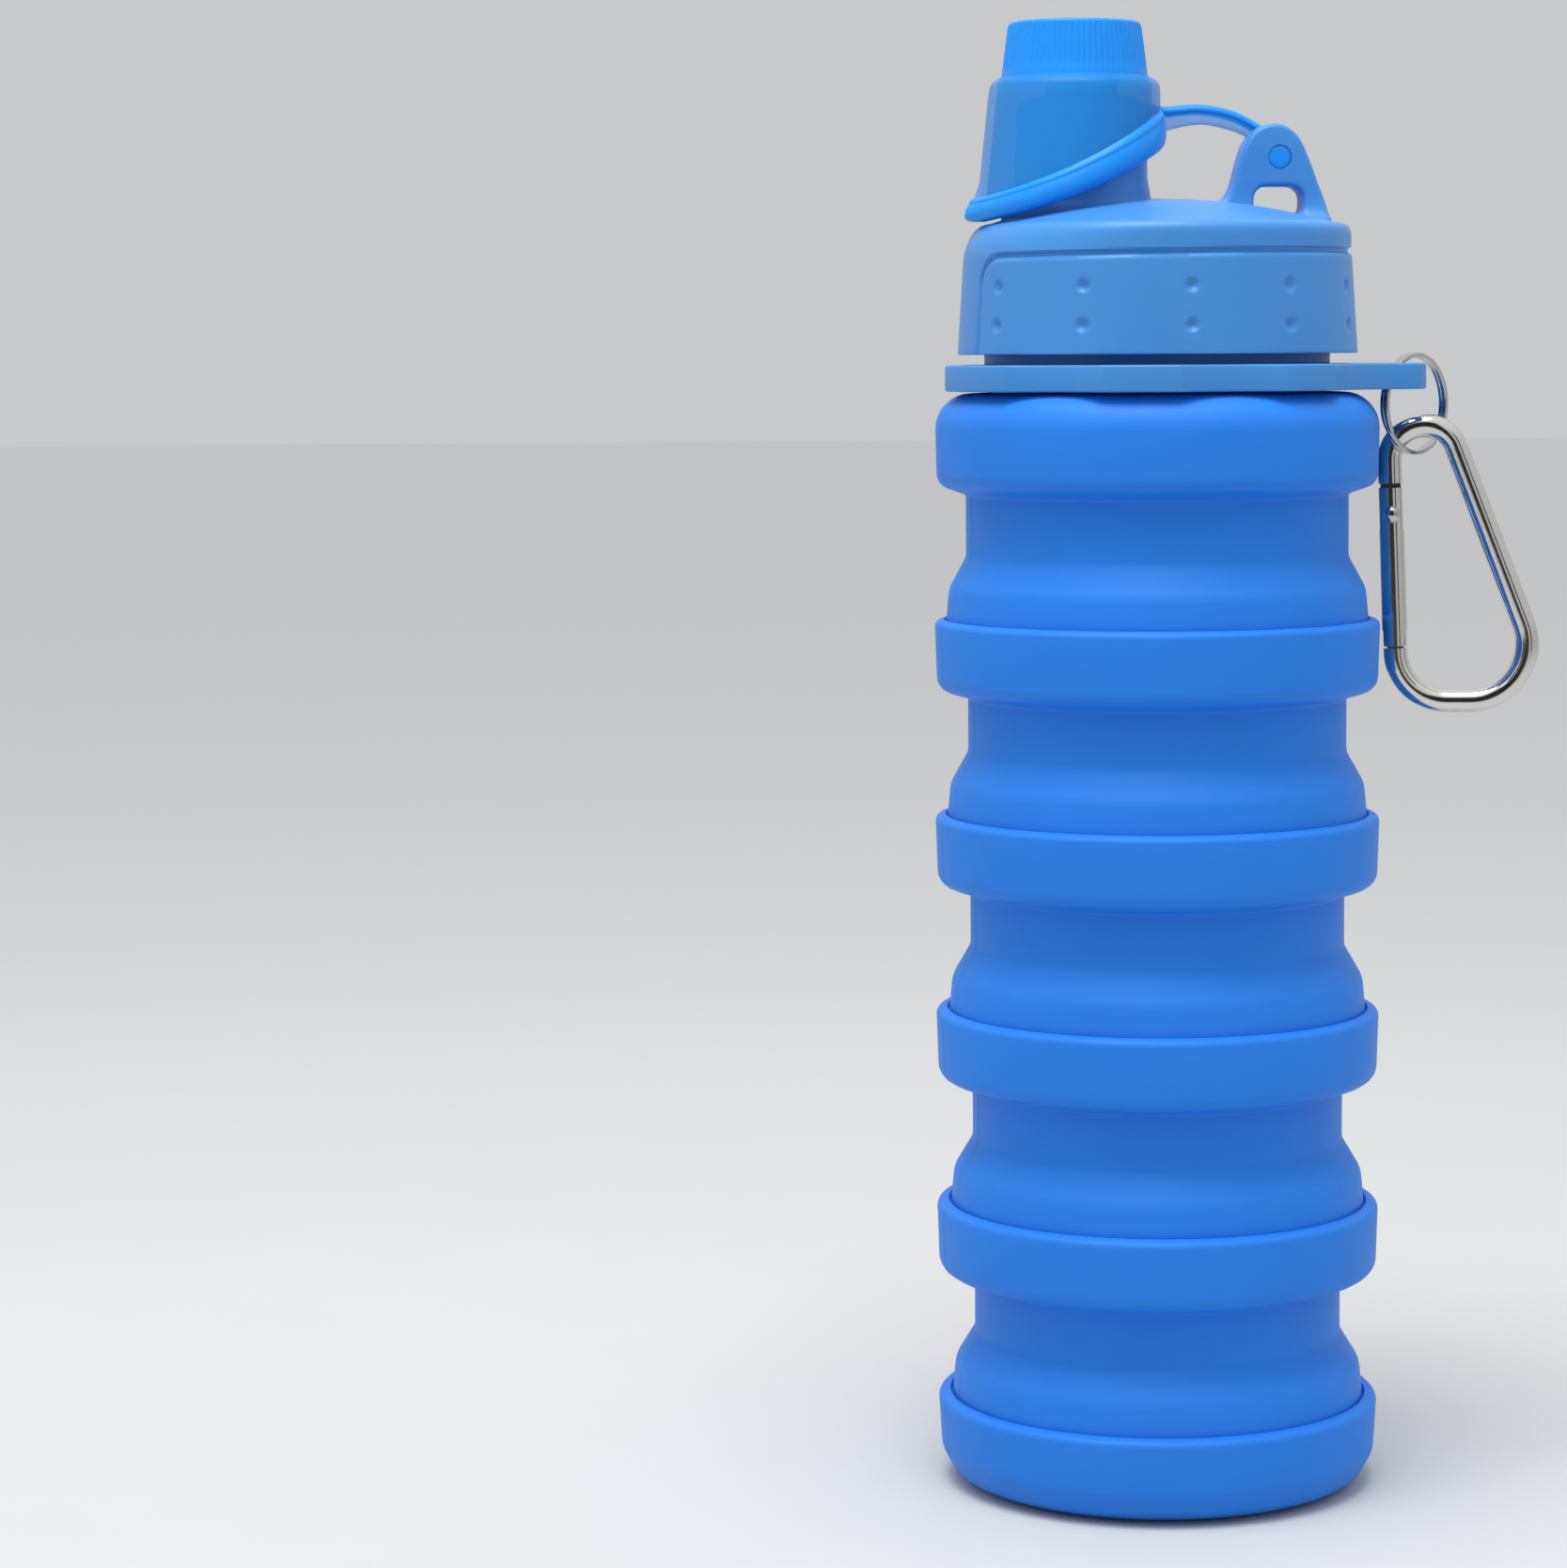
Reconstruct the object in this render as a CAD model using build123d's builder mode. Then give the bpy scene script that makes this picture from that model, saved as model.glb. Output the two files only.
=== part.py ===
from build123d import *
import os
from math import cos, radians, sin, sqrt, tan

# Folding water bottle. A silicone bellows body stands under a hard neck collar, a screw lid with
# a spout, a dust cap on a strap, and a mini carabiner on a split ring.
# Millimetres. +Z is up the bottle's axis and the origin is the centre of the flat foot.
# The spout stands towards -X and the lid's carry loop towards +X.

# ---- silicone body: a base, four rings and a shoulder, joined by webs that fold inwards ----
RING_COUNT = 4
RING_PITCH = 30.9           # from one ring's top to the next, with the bottle pulled out
BASE_TOP = 13.9
RING_RADIUS = 35.2          # at a ring's top edge
RING_DRAFT = 0.5            # a ring is this much smaller at its bottom edge
RING_CROWN = 0.3            # the flat crown stands this much over the ring's top level
RING_BOTTOM = 10.8          # depth of the bottom edge below the ring's top level
RING_THROAT = 12.1          # depth at which the ring's underside meets its neck
FLOOR_DEPTH = 10.5          # depth of the ring's inner floor
TOP_EDGE = 1.0              # edge radii
BOTTOM_EDGE = 2.4

NECK_RADIUS = 30.15         # outside of the shoulder's neck, the widest
NECK_STEP = 0.25            # each neck below is this much smaller
NECK_WALL = 1.7
WEB_RADIUS = 33.2           # outside of the top fold web where it leaves its ring
WEB_STEP = 0.15             # each web below is this much smaller
WEB_WALL = 1.2
WEB_HEIGHT = 10.0           # from the ring's top level up to the neck
WEB_SHOULDER = 4.9          # height of the web's bend
WEB_SEAT = 0.5              # the web is rooted this far below the ring's top level
WEB_BEND = 3.0
PART_GAP = 0.3              # clearance between pieces that move apart

FOOT_RADIUS = 26.0
BASE_RADIUS = 35.0
BASE_FLOOR = 2.4
SHOULDER_BOTTOM = 158.7
SHOULDER_THROAT = 157.4
SHOULDER_TOP = 173.3
SHOULDER_EDGE = 5.5
LIP_RADIUS = 26.0           # hole in the shoulder's top
LIP_WALL = 2.5

# ---- neck collar: threaded mouth, scalloped grip flange and carry tab ----
MOUTH_RADIUS = 22.0
MOUTH_TOP = 193.2
BEAD_RADIUS = 30.6
BEAD_HEIGHT = 3.2
GROOVE_RADIUS = 25.9
FLANGE_BOTTOM = 173.6
FLANGE_TOP = 177.7
FLANGE_RADIUS = 34.1
SCALLOP_ANGLES = (69.0, 118.7, 180.0, 241.3, 291.0)    # from the tab
SCALLOP_RADIUS = 36.6
SCALLOP_FLOOR = 32.0        # nearest the scallop comes to the axis
SKIRT_STOP_RADIUS = 27.2
SKIRT_STOP_TOP = 181.2
THREAD_RADIUS = 26.2
THREAD_BOTTOM = 182.6
THREAD_TOP = 191.2
SPIGOT_RADIUS = 24.8

TAB_ANGLE = -10.0
TAB_REACH = 37.1            # axis to the tab's hole
TAB_TIP = 5.1
TAB_HOLE = 2.5
TAB_SPREAD = 37.3           # half angle that the tab's root takes of the flange
TAB_HOLLOW = 2.0            # how far the tab's sides curve in

# ---- lid ----
LID_BOTTOM = 179.3
SKIRT_RADIUS = 31.35        # at the skirt's bottom
SKIRT_TOP_RADIUS = 30.4
GROOVE_LEVEL = 195.0
RIM_RADIUS = 30.3
RIM_TOP = 198.8
DOME_TOP = 203.5
LID_BORE = 28.9
LID_THREAD_BORE = 26.7
LID_SEAT = 195.4
CEILING = 199.2
GASKET_INNER = 21.6
GASKET_OUTER = 26.2

SPOUT_X = -11.95
SPOUT_RADIUS = 10.3
SPOUT_TOP = 218.5
SPOUT_BORE = 7.0
NOZZLE_TOP = 222.5
NOZZLE_RADIUS = 5.6
NOZZLE_BORE = 2.6
NOZZLE_FLANGE = 8.6

LOOP_X = 19.1               # axis of the strap's stud and middle of the slot
STUD_Z = 210.0
LOOP_THICK = 5.6
LOOP_CROWN = 5.6            # radius of the loop's rounded top
LOOP_CROWN_X = 18.4
LOOP_CROWN_Z = 209.6
LOOP_FOOT_IN = 10.3
LOOP_FOOT_OUT = 27.6
SLOT_Z = 203.9
SLOT_WIDTH = 7.4
SLOT_HEIGHT = 4.6

# ---- dust cap with its strap and stud ----
CAP_X = -13.0
CAP_TOP = 231.0
GRIP_TOP_RADIUS = 10.3
GRIP_RADIUS = 11.3
GRIP_BOTTOM = 223.0
CAP_SHOULDER = 221.3
CAP_RADIUS = 13.35
CAP_FLARE_Z = 198.0         # level at which the flared skirt's lower section is given
CAP_FLARE_RADIUS = 14.7
CAP_FLARE_SHIFT = -1.1
CAP_WALL = 1.3
CAP_PLUG_RADIUS = 8.9
CAP_CEILING = 224.6
RIM_SLOPE = 24.0
RIM_LOW_Z = 199.9           # rim level under the cap's far side
RIM_LOW_X = -28.5
RIM_BAND = 3.2
RIM_PROUD = 0.7
THUMB_REACH = 17.1
STUD_RADIUS = 1.8
STUD_CLEARANCE = 0.05
STRAP_GAP = 0.3
STRAP_WIDTH = 2.6
STRAP_HEIGHT = 3.0
STRAP_EYE = 3.9

# ---- split ring ----
KEY_TURN = 50.0             # the ring's plane, from the tab's own direction
KEY_RADIUS = 7.7            # to the middle of the wire
KEY_WIRE = 0.8
KEY_WIDTH = 1.5
KEY_OUT = 1.69              # the ring's centre from the middle of the tab's web
KEY_DOWN = 4.45

# ---- carabiner, drawn in the upright plane through the tab ----
WIRE_RADIUS = 1.9
BACK_X = 37.05              # the gate side, next to the bottle, at GATE_PIVOT_Z
BACK_LEAN = 2.0
SPINE_X = 52.1              # the spine side at SPINE_Z
SPINE_Z = 151.5
SPINE_LEAN = 21.0
BOW_TOP = 167.8             # middle of the wire at the top bow
TOE_Z = 124.1
HEEL_Z = 124.1
TOE_BEND = 8.05
HEEL_BEND = 9.0
GATE_PIVOT_Z = 153.8
GATE_RADIUS = 2.0
GATE_RISE = 4.2             # gate above its pivot
FRAME_RISE = 4.9            # round part of the frame above the pivot
TONGUE_THICK = 1.5
TONGUE_WIDTH = 3.2
TONGUE_DROP = TONGUE_WIDTH / 2
FORK_WIDTH = 1.8
FORK_DEPTH = 2.4
NOSE_Z = 132.6
NOSE_TONGUE = 2.2
RIVET_RADIUS = 0.8
RIVET_HEAD = 1.25
RIVET_CLEARANCE = 0.05
GATE_BORE = 1.15
PLUNGER_LENGTH = 2.4
PLUNGER_TIP = 0.8
SPRING_RADIUS = 0.85
SPRING_WIRE = 0.18
SPRING_TURNS = 9


def ring_top(index):
    """Top level of ring 1 (under the shoulder) to 4, and of the base as number 5."""
    return BASE_TOP + (RING_COUNT + 1 - index) * RING_PITCH


def neck_radius(index):
    """Outside of the neck under ring index, with 0 for the shoulder."""
    return NECK_RADIUS - index * NECK_STEP


def web_radius(index):
    """Outside of the web that leaves ring index upwards."""
    return WEB_RADIUS - (index - 1) * WEB_STEP


def save(piece, name):
    piece.label = name
    export_step(piece, f"parts/{name}.step")


os.makedirs("parts", exist_ok=True)

# ---- ring sections: a ring with its neck hanging under it, one rigid piece each ----
for index in range(1, RING_COUNT + 1):
    top = ring_top(index)
    neck_foot = ring_top(index + 1) + WEB_HEIGHT
    neck = neck_radius(index)
    web = web_radius(index)
    with BuildPart() as ring_section:
        with BuildSketch(Plane.XZ) as ring_profile:
            with BuildLine():
                Polyline(
                    (neck - NECK_WALL, neck_foot),
                    (neck, neck_foot),
                    (neck, top - RING_THROAT),
                    (RING_RADIUS - RING_DRAFT, top - RING_BOTTOM),
                    (RING_RADIUS, top + RING_CROWN),
                    (web, top + RING_CROWN),
                    (web, top - WEB_SEAT),
                    (web - WEB_WALL, top - WEB_SEAT),
                    (web - WEB_WALL, top - FLOOR_DEPTH),
                    (neck - NECK_WALL, top - FLOOR_DEPTH),
                    close=True,
                )
            make_face()
            corners = ring_profile.vertices().sort_by(Axis.X)
            fillet(corners[-1], radius=TOP_EDGE)
            fillet(corners[-2], radius=BOTTOM_EDGE)
        revolve(axis=Axis.Z)
    save(ring_section.part, f"ring_section_{index}")

# ---- fold webs: thin cones that roll inside out when the bottle is pushed together ----
for index in range(1, RING_COUNT + 2):
    top = ring_top(index)
    web = web_radius(index) - 0.05
    neck = neck_radius(index - 1)
    with BuildPart() as fold_web:
        with BuildSketch(Plane.XZ) as web_profile:
            with BuildLine():
                Polyline(
                    (web, top - WEB_SEAT),
                    (web, top + WEB_SHOULDER),
                    (neck, top + WEB_HEIGHT - PART_GAP),
                    (neck - WEB_WALL, top + WEB_HEIGHT - PART_GAP),
                    (web - WEB_WALL, top + WEB_SHOULDER - PART_GAP),
                    (web - WEB_WALL, top - WEB_SEAT),
                    close=True,
                )
            make_face()
            bends = web_profile.vertices().group_by(Axis.Y)
            fillet(bends[1] + bends[2], radius=WEB_BEND)
        revolve(axis=Axis.Z)
    save(fold_web.part, f"fold_web_{index}")

# ---- base cup ----
base_web = web_radius(RING_COUNT + 1)
with BuildPart() as base_cup:
    with BuildSketch(Plane.XZ) as base_profile:
        with BuildLine():
            Line((0, 0), (FOOT_RADIUS, 0))
            TangentArc((FOOT_RADIUS, 0), (34.5, 6.8), tangent=(1, 0))
            Polyline(
                (34.5, 6.8),
                (BASE_RADIUS, BASE_TOP + RING_CROWN),
                (base_web, BASE_TOP + RING_CROWN),
                (base_web, BASE_TOP - WEB_SEAT),
                (base_web - WEB_WALL, BASE_TOP - WEB_SEAT),
                (base_web - WEB_WALL, 7.0),
                (base_web - WEB_WALL - 4.6, BASE_FLOOR),
                (0, BASE_FLOOR),
                (0, 0),
            )
        make_face()
        fillet(base_profile.vertices().sort_by(Axis.X)[-1], radius=TOP_EDGE)
    revolve(axis=Axis.Z)
save(base_cup.part, "base_cup")

# ---- shoulder: the top of the silicone body, with the lip that the neck collar grips ----
with BuildPart() as shoulder_section:
    with BuildSketch(Plane.XZ) as shoulder_profile:
        with BuildLine():
            Polyline(
                (NECK_RADIUS - NECK_WALL, ring_top(1) + WEB_HEIGHT),
                (NECK_RADIUS, ring_top(1) + WEB_HEIGHT),
                (NECK_RADIUS, SHOULDER_THROAT),
                (RING_RADIUS - RING_DRAFT, SHOULDER_BOTTOM),
                (BASE_RADIUS, SHOULDER_TOP),
                (LIP_RADIUS, SHOULDER_TOP),
                (LIP_RADIUS, SHOULDER_TOP - LIP_WALL),
                (WEB_RADIUS - WEB_WALL, SHOULDER_TOP - LIP_WALL),
                (WEB_RADIUS - WEB_WALL, SHOULDER_THROAT + 1.6),
                (NECK_RADIUS - NECK_WALL, SHOULDER_THROAT + 1.6),
                close=True,
            )
        make_face()
        corners = shoulder_profile.vertices().sort_by(Axis.X)
        fillet(corners[-1], radius=SHOULDER_EDGE)
        fillet(corners[-2], radius=BOTTOM_EDGE)
    revolve(axis=Axis.Z)
save(shoulder_section.part, "shoulder_section")

# ---- neck collar ----
bead_top = SHOULDER_TOP - LIP_WALL
tab_plane = Plane(
    origin=(0, 0, FLANGE_BOTTOM),
    x_dir=(cos(radians(TAB_ANGLE)), sin(radians(TAB_ANGLE)), 0),
    z_dir=(0, 0, 1),
)
root_x = FLANGE_RADIUS * cos(radians(TAB_SPREAD))
root_y = FLANGE_RADIUS * sin(radians(TAB_SPREAD))
root = Vector(root_x, root_y)
side = Vector(TAB_REACH, TAB_TIP)
along = (side - root).normalized()
waist = (root + side) / 2 - Vector(-along.Y, along.X) * TAB_HOLLOW
with BuildPart() as neck_collar:
    with BuildSketch(tab_plane) as flange:
        Circle(FLANGE_RADIUS)
        for angle in SCALLOP_ANGLES:
            with PolarLocations(SCALLOP_FLOOR + SCALLOP_RADIUS, 1, start_angle=angle):
                Circle(SCALLOP_RADIUS, mode=Mode.SUBTRACT)
        with BuildLine() as tab_outline:
            ThreePointArc(root, waist, side)
            ThreePointArc(side, (TAB_REACH + TAB_TIP, 0), (TAB_REACH, -TAB_TIP))
            ThreePointArc((side.X, -side.Y), (waist.X, -waist.Y), (root.X, -root.Y))
            Line((root.X, -root.Y), root)
        make_face()
        with Locations((TAB_REACH, 0)):
            Circle(TAB_HOLE, mode=Mode.SUBTRACT)
    extrude(amount=FLANGE_TOP - FLANGE_BOTTOM)
    with BuildSketch(Plane.XZ) as collar_profile:
        with BuildLine():
            Polyline(
                (MOUTH_RADIUS, bead_top - BEAD_HEIGHT),
                (BEAD_RADIUS, bead_top - BEAD_HEIGHT),
                (BEAD_RADIUS, bead_top),
                (GROOVE_RADIUS, bead_top),
                (GROOVE_RADIUS, FLANGE_BOTTOM),
                (SKIRT_STOP_RADIUS, FLANGE_BOTTOM),
                (SKIRT_STOP_RADIUS, SKIRT_STOP_TOP),
                (SPIGOT_RADIUS, SKIRT_STOP_TOP),
                (SPIGOT_RADIUS, THREAD_BOTTOM),
                (THREAD_RADIUS, THREAD_BOTTOM),
                (THREAD_RADIUS, THREAD_TOP),
                (SPIGOT_RADIUS, THREAD_TOP),
                (SPIGOT_RADIUS, MOUTH_TOP),
                (MOUTH_RADIUS, MOUTH_TOP),
                close=True,
            )
        make_face()
    revolve(axis=Axis.Z)
    with BuildSketch(Plane.XY.offset(FLANGE_BOTTOM)):
        Circle(MOUTH_RADIUS)
    extrude(amount=MOUTH_TOP - FLANGE_BOTTOM, mode=Mode.SUBTRACT)
save(neck_collar.part, "neck_collar")

# ---- lid: skirt, domed top, spout and carry loop in one moulding ----
dome_rise = DOME_TOP - RIM_TOP
dome_radius = (RIM_RADIUS**2 + dome_rise**2) / (2 * dome_rise)
dome_middle = DOME_TOP - dome_radius + sqrt(dome_radius**2 - (RIM_RADIUS / 2) ** 2)
with BuildPart() as lid_shell:
    with BuildSketch(Plane.XZ) as lid_profile:
        with BuildLine():
            Polyline(
                (0, CEILING),
                (GASKET_INNER - 0.4, CEILING),
                (GASKET_INNER - 0.4, LID_SEAT),
                (LID_THREAD_BORE, LID_SEAT),
                (LID_THREAD_BORE, SKIRT_STOP_TOP + 0.9),
                (LID_BORE, SKIRT_STOP_TOP + 0.9),
                (LID_BORE, LID_BOTTOM),
                (SKIRT_RADIUS, LID_BOTTOM),
                (SKIRT_TOP_RADIUS, GROOVE_LEVEL - 0.5),
                (SKIRT_TOP_RADIUS - 0.7, GROOVE_LEVEL),
                (RIM_RADIUS, GROOVE_LEVEL + 0.8),
                (RIM_RADIUS, RIM_TOP),
            )
            ThreePointArc((RIM_RADIUS, RIM_TOP), (RIM_RADIUS / 2, dome_middle), (0, DOME_TOP))
            Line((0, DOME_TOP), (0, CEILING))
        make_face()
        fillet(lid_profile.vertices().group_by(Axis.Y)[-2], radius=1.2)
    revolve(axis=Axis.Z)
    with BuildSketch(Plane.XY.offset(CEILING)):
        with Locations((SPOUT_X, 0)):
            Circle(SPOUT_RADIUS)
    extrude(amount=SPOUT_TOP - CEILING)
    with BuildSketch(Plane.XZ.offset(-LOOP_THICK / 2)):
        with BuildLine():
            crown = CenterArc((LOOP_CROWN_X, LOOP_CROWN_Z), LOOP_CROWN, 12, 150)
            ThreePointArc(crown @ 1, (12.1, 206.4), (LOOP_FOOT_IN, 202.9))
            Polyline(
                (LOOP_FOOT_IN, 202.9),
                (LOOP_FOOT_IN, 200.0),
                (LOOP_FOOT_OUT, 198.4),
                (LOOP_FOOT_OUT, 199.6),
            )
            ThreePointArc((LOOP_FOOT_OUT, 199.6), (25.8, 205.6), crown @ 0)
        make_face()
    extrude(amount=LOOP_THICK)
    with BuildSketch(Plane.XZ.offset(-LOOP_THICK)):
        with Locations((LOOP_X, SLOT_Z)):
            SlotOverall(SLOT_WIDTH, SLOT_HEIGHT)
        with Locations((LOOP_X, STUD_Z)):
            Circle(STUD_RADIUS + STUD_CLEARANCE)
    extrude(amount=2 * LOOP_THICK, mode=Mode.SUBTRACT)
    with BuildSketch(Plane.XY.offset(CEILING)):
        with Locations((SPOUT_X, 0)):
            Circle(SPOUT_BORE)
    extrude(amount=SPOUT_TOP - CEILING, mode=Mode.SUBTRACT)
save(lid_shell.part, "lid_shell")

# ---- gasket on the mouth's rim ----
with BuildPart() as lid_gasket:
    with BuildSketch(Plane.XY.offset(MOUTH_TOP + 0.1)):
        Circle(GASKET_OUTER)
        Circle(GASKET_INNER, mode=Mode.SUBTRACT)
    extrude(amount=LID_SEAT - MOUTH_TOP - 0.2)
save(lid_gasket.part, "lid_gasket")

# ---- mouthpiece pushed into the spout ----
with BuildPart() as spout_nozzle:
    with BuildSketch(Plane.XZ) as nozzle_profile:
        with BuildLine():
            Polyline(
                (SPOUT_X + NOZZLE_BORE, CEILING + 1),
                (SPOUT_X + SPOUT_BORE, CEILING + 1),
                (SPOUT_X + SPOUT_BORE, SPOUT_TOP),
                (SPOUT_X + NOZZLE_FLANGE, SPOUT_TOP),
                (SPOUT_X + NOZZLE_FLANGE, SPOUT_TOP + 0.8),
                (SPOUT_X + NOZZLE_RADIUS, SPOUT_TOP + 0.8),
                (SPOUT_X + NOZZLE_RADIUS, NOZZLE_TOP),
                (SPOUT_X + NOZZLE_BORE, NOZZLE_TOP),
                close=True,
            )
        make_face()
        fillet(nozzle_profile.vertices().group_by(Axis.Y)[-1].sort_by(Axis.X)[-1], radius=1.0)
    revolve(axis=Axis((SPOUT_X, 0, 0), (0, 0, 1)))
save(spout_nozzle.part, "spout_nozzle")

# ---- dust cap: grip, flared skirt with a slanted rim, strap and stud ----
rim_tilt = radians(RIM_SLOPE)
rim_normal = (-sin(rim_tilt), 0, cos(rim_tilt))
rim_plane = Plane(origin=(RIM_LOW_X, 0, RIM_LOW_Z), x_dir=(cos(rim_tilt), 0, sin(rim_tilt)), z_dir=rim_normal)
with BuildPart() as cap_rim:
    for level, radius, shift in (
        (CAP_SHOULDER, CAP_RADIUS, 0),
        (CAP_FLARE_Z, CAP_FLARE_RADIUS, CAP_FLARE_SHIFT),
    ):
        with BuildSketch(Plane.XY.offset(level)):
            with Locations((CAP_X + shift, 0)):
                Circle(radius + RIM_PROUD)
    loft()
    with BuildSketch(Plane.XY.offset(RIM_LOW_Z)):
        with Locations((CAP_X - THUMB_REACH + 4, 0)):
            Circle(4)
    extrude(amount=-1.8)
    split(bisect_by=rim_plane, keep=Keep.TOP)
    split(bisect_by=rim_plane.offset(RIM_BAND), keep=Keep.BOTTOM)

with BuildPart() as dust_cap:
    for level, radius, shift in (
        (CAP_SHOULDER, CAP_RADIUS, 0),
        (CAP_FLARE_Z, CAP_FLARE_RADIUS, CAP_FLARE_SHIFT),
    ):
        with BuildSketch(Plane.XY.offset(level)):
            with Locations((CAP_X + shift, 0)):
                Circle(radius)
    loft()
    split(bisect_by=rim_plane, keep=Keep.TOP)
    add(cap_rim.part)
    with BuildSketch(Plane.XZ) as crown_profile:
        with BuildLine():
            Polyline(
                (CAP_X, CAP_SHOULDER - 1),
                (CAP_X + CAP_RADIUS, CAP_SHOULDER - 1),
                (CAP_X + CAP_RADIUS, CAP_SHOULDER),
                (CAP_X + GRIP_RADIUS + 0.2, GRIP_BOTTOM),
                (CAP_X + GRIP_TOP_RADIUS, CAP_TOP),
                (CAP_X, CAP_TOP),
                close=True,
            )
        make_face()
        fillet(crown_profile.vertices().group_by(Axis.Y)[-1].sort_by(Axis.X)[-1], radius=0.8)
    revolve(axis=Axis((CAP_X, 0, 0), (0, 0, 1)))
    # the strap arches behind the carry loop to an eye, and the stud goes through the loop
    with BuildSketch(Plane.XZ.offset(-LOOP_THICK / 2 - STRAP_GAP)):
        with BuildLine():
            ThreePointArc((-3.0, 214.6), (8.0, 218.0), (LOOP_X + 1.5, 212.4))
            Line((LOOP_X + 1.5, 212.4), (LOOP_X - 0.5, 209.4))
            ThreePointArc((LOOP_X - 0.5, 209.4), (8.0, 215.0), (-3.0, 210.6))
            Line((-3.0, 210.6), (-3.0, 214.6))
        make_face()
        with Locations((LOOP_X, STUD_Z)):
            Circle(STRAP_EYE)
    extrude(amount=-STRAP_WIDTH)
    with BuildSketch(Plane.XZ.offset(-LOOP_THICK / 2 - STRAP_GAP - 0.5)):
        with Locations((LOOP_X, STUD_Z)):
            Circle(STUD_RADIUS)
    extrude(amount=LOOP_THICK + STRAP_GAP + 0.8)
    # cavity round the spout
    for level, radius, shift in (
        (CAP_SHOULDER, CAP_RADIUS - CAP_WALL, 0),
        (CAP_FLARE_Z, CAP_FLARE_RADIUS - CAP_WALL, CAP_FLARE_SHIFT),
    ):
        with BuildSketch(Plane.XY.offset(level)):
            with Locations((CAP_X + shift, 0)):
                Circle(radius)
    loft(mode=Mode.SUBTRACT)
    with BuildSketch(Plane.XY.offset(CAP_SHOULDER)):
        with Locations((CAP_X, 0)):
            Circle(CAP_PLUG_RADIUS)
    extrude(amount=CAP_CEILING - CAP_SHOULDER, mode=Mode.SUBTRACT)
save(dust_cap.part, "dust_cap")

# ---- split ring through the tab's hole ----
key_angle = radians(TAB_ANGLE + KEY_TURN)
tab_x = TAB_REACH * cos(radians(TAB_ANGLE))
tab_y = TAB_REACH * sin(radians(TAB_ANGLE))
key_reach = (TAB_HOLE + TAB_TIP) / 2 + KEY_OUT
key_centre = (
    tab_x + key_reach * cos(key_angle),
    tab_y + key_reach * sin(key_angle),
    (FLANGE_BOTTOM + FLANGE_TOP) / 2 - KEY_DOWN,
)
key_plane = Plane(
    origin=key_centre,
    x_dir=(cos(key_angle), sin(key_angle), 0),
    z_dir=(sin(key_angle), -cos(key_angle), 0),
)
with BuildPart() as key_ring:
    with BuildSketch(Plane(origin=key_centre, x_dir=key_plane.x_dir, z_dir=key_plane.y_dir)) as key_section:
        with Locations((KEY_RADIUS, 0)):
            RectangleRounded(KEY_WIRE, KEY_WIDTH, 0.3)
    revolve(axis=Axis(key_plane.origin, key_plane.z_dir))
save(key_ring.part, "key_ring")

# ---- carabiner ----
# Its plane holds the tab's direction and +Z, and passes through the lowest point of the split ring.
tab_dir = Vector(cos(radians(TAB_ANGLE)), sin(radians(TAB_ANGLE)), 0)
depth_dir = Vector(-sin(radians(TAB_ANGLE)), cos(radians(TAB_ANGLE)), 0)
hook_depth = Vector(*key_centre).dot(depth_dir)
hook_plane = Plane(origin=depth_dir * hook_depth, x_dir=tab_dir, z_dir=-depth_dir)


def back_line(level):
    """Middle of the gate side at a level."""
    return BACK_X + (GATE_PIVOT_Z - level) * tan(radians(BACK_LEAN))


def spine_line(level):
    """Middle of the spine side at a level."""
    return SPINE_X + (SPINE_Z - level) * tan(radians(SPINE_LEAN))


lean_sum = tan(radians(BACK_LEAN)) - tan(radians(SPINE_LEAN))
apex_z = (spine_line(0) - back_line(0)) / -lean_sum
half_taper = radians((SPINE_LEAN - BACK_LEAN) / 2)
axis_lean = radians((SPINE_LEAN + BACK_LEAN) / 2)
bow_radius = (apex_z - BOW_TOP) / (cos(axis_lean) / sin(half_taper) - 1)
gate_axis_dir = tab_dir * sin(radians(BACK_LEAN)) - Vector(0, 0, 1) * cos(radians(BACK_LEAN))


def on_back(level):
    """Point in space on the gate side's centre line at a level."""
    return hook_plane.from_local_coords((back_line(level), level, 0))


pivot = on_back(GATE_PIVOT_Z)
frame_plane = Plane(origin=on_back(GATE_PIVOT_Z + FRAME_RISE), x_dir=depth_dir, z_dir=gate_axis_dir)
gate_plane = Plane(origin=on_back(GATE_PIVOT_Z + GATE_RISE), x_dir=depth_dir, z_dir=gate_axis_dir)
nose_plane = Plane(origin=on_back(NOSE_Z), x_dir=depth_dir, z_dir=-gate_axis_dir)
pivot_plane = Plane(origin=pivot, x_dir=gate_axis_dir, z_dir=-depth_dir)
gate_length = GATE_RISE + (GATE_PIVOT_Z - NOSE_Z) / cos(radians(BACK_LEAN)) - PART_GAP

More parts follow.
